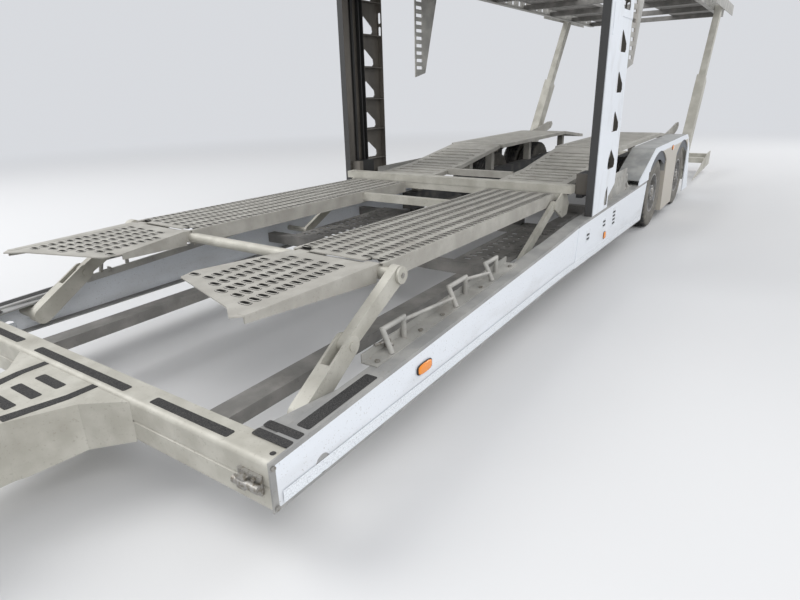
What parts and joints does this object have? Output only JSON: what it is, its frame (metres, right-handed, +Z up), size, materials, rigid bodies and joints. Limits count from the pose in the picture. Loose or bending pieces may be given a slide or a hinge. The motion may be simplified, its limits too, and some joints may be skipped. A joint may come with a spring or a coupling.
{
  "type": "car transporter trailer",
  "caption": "Two-axle drawbar trailer that carries cars on two levels, with a lifting front platform, masts, a tilting upper deck and telescopic rear posts.",
  "frame": {"origin": "on the ground, below the middle of the whole length and width", "axes": "+X forward to the towing eye, +Y left, +Z up"},
  "size_m": [13.062, 2.574, 3.3],
  "materials": {
    "white_paint": "white paint, lightly soiled",
    "galvanised": "hot-dip galvanised steel with dried dust",
    "dark_steel": "black chassis paint",
    "bellows_rubber": "dull rubber",
    "tyre_rubber": "worn tread rubber",
    "wheel_steel": "silver wheel paint, dusty",
    "amber_lens": "amber lens",
    "red_lens": "red lens"
  },
  "bodies": {
    "chassis": {"side_beam_left": "white_paint", "side_beam_right": "white_paint", "side_panel_left": "white_paint", "side_panel_right": "white_paint", "mast_left": "white_paint", "mast_right": "white_paint", "front_crossmember": "galvanised", "drawbar": "galvanised", "low_frame": "galvanised", "rear_crossmember": "galvanised", "rear_tube": "galvanised", "middle_tracks": "galvanised", "axle_deck": "galvanised", "arm_supports": "galvanised", "rail_racks": "galvanised", "towing_eye": "dark_steel", "parking_jack": "dark_steel", "spine_beams": "dark_steel", "axle_front": "dark_steel", "axle_rear": "dark_steel", "air_springs": "bellows_rubber", "marker_lamps": "amber_lens"},
    "wheel_front_left": {"tyres_front_left": "tyre_rubber", "rims_front_left": "wheel_steel"},
    "wheel_front_right": {"tyres_front_right": "tyre_rubber", "rims_front_right": "wheel_steel"},
    "wheel_rear_left": {"tyres_rear_left": "tyre_rubber", "rims_rear_left": "wheel_steel"},
    "wheel_rear_right": {"tyres_rear_right": "tyre_rubber", "rims_rear_right": "wheel_steel"},
    "platform": {"platform_track_left": "galvanised", "platform_track_right": "galvanised", "platform_tubes": "galvanised"},
    "flap_left": {"flap_left": "galvanised"},
    "flap_right": {"flap_right": "galvanised"},
    "upper_arm_pair": {"upper_arms": "galvanised"},
    "lower_arm_pair": {"lower_arms": "galvanised"},
    "upper_deck": {"upper_deck_beams": "galvanised", "upper_deck_cross_tubes": "galvanised", "upper_deck_tracks": "galvanised"},
    "post_lower": {"post_outers": "galvanised"},
    "post_upper": {"post_inners": "galvanised"},
    "tail_guard": {"tail_frame": "galvanised", "tail_lamps": "red_lens"}
  },
  "joints": [
    {"name": "wheel_front_left_spin", "type": "hinge", "parent": "chassis", "child": "wheel_front_left", "pos_m": [-1.221, 0, 0.397], "axis": [0, 1, 0], "continuous": true},
    {"name": "wheel_front_right_spin", "type": "hinge", "parent": "chassis", "child": "wheel_front_right", "pos_m": [-1.221, 0, 0.397], "axis": [0, 1, 0], "continuous": true},
    {"name": "wheel_rear_left_spin", "type": "hinge", "parent": "chassis", "child": "wheel_rear_left", "pos_m": [-2.811, 0, 0.397], "axis": [0, 1, 0], "continuous": true},
    {"name": "wheel_rear_right_spin", "type": "hinge", "parent": "chassis", "child": "wheel_rear_right", "pos_m": [-2.811, 0, 0.397], "axis": [0, 1, 0], "continuous": true},
    {"name": "platform_lift", "type": "hinge", "parent": "chassis", "child": "platform", "pos_m": [1.649, 0, 0.723], "axis": [0, -1, 0], "range_deg": [-6, 0]},
    {"name": "flap_left_tilt", "type": "hinge", "parent": "platform", "child": "flap_left", "pos_m": [3.909, 0, 0.79], "axis": [0, -1, 0], "range_deg": [0, 14]},
    {"name": "flap_right_tilt", "type": "hinge", "parent": "platform", "child": "flap_right", "pos_m": [3.909, 0, 0.79], "axis": [0, -1, 0], "range_deg": [0, 14]},
    {"name": "lower_arm_fold", "type": "hinge", "parent": "chassis", "child": "lower_arm_pair", "pos_m": [4.601, 0, 0.39], "axis": [0, -1, 0], "range_deg": [-14.91, 0.05]},
    {"name": "upper_arm_fold", "type": "hinge", "parent": "platform", "child": "upper_arm_pair", "pos_m": [3.909, 0, 0.79], "axis": [0, -1, 0], "range_deg": [-0.05, 46.53]},
    {"name": "deck_tilt", "type": "hinge", "parent": "chassis", "child": "upper_deck", "pos_m": [1.189, 0, 2.74], "axis": [0, 1, 0], "range_deg": [-12, 2]},
    {"name": "post_lean", "type": "hinge", "parent": "chassis", "child": "post_lower", "pos_m": [-3.291, 0, 0.33], "axis": [0, 1, 0], "range_deg": [-18.25, 3.08]},
    {"name": "post_extend", "type": "slide", "parent": "post_lower", "child": "post_upper", "axis": [-0.5776, 0, 0.8163], "range_m": [-1.0288, 0.1723]},
    {"name": "tail_slide", "type": "slide", "parent": "chassis", "child": "tail_guard", "axis": [1, 0, 0], "range_m": [0, 0.56]}
  ],
  "couplings": [
    {"joint": "lower_arm_fold", "follows": "platform_lift", "ratio": 2.4775},
    {"joint": "upper_arm_fold", "follows": "platform_lift", "ratio": -7.747},
    {"joint": "post_lean", "follows": "deck_tilt", "ratio": 1.5164},
    {"joint": "post_extend", "follows": "deck_tilt", "m_per_rad": 4.9075}
  ]
}
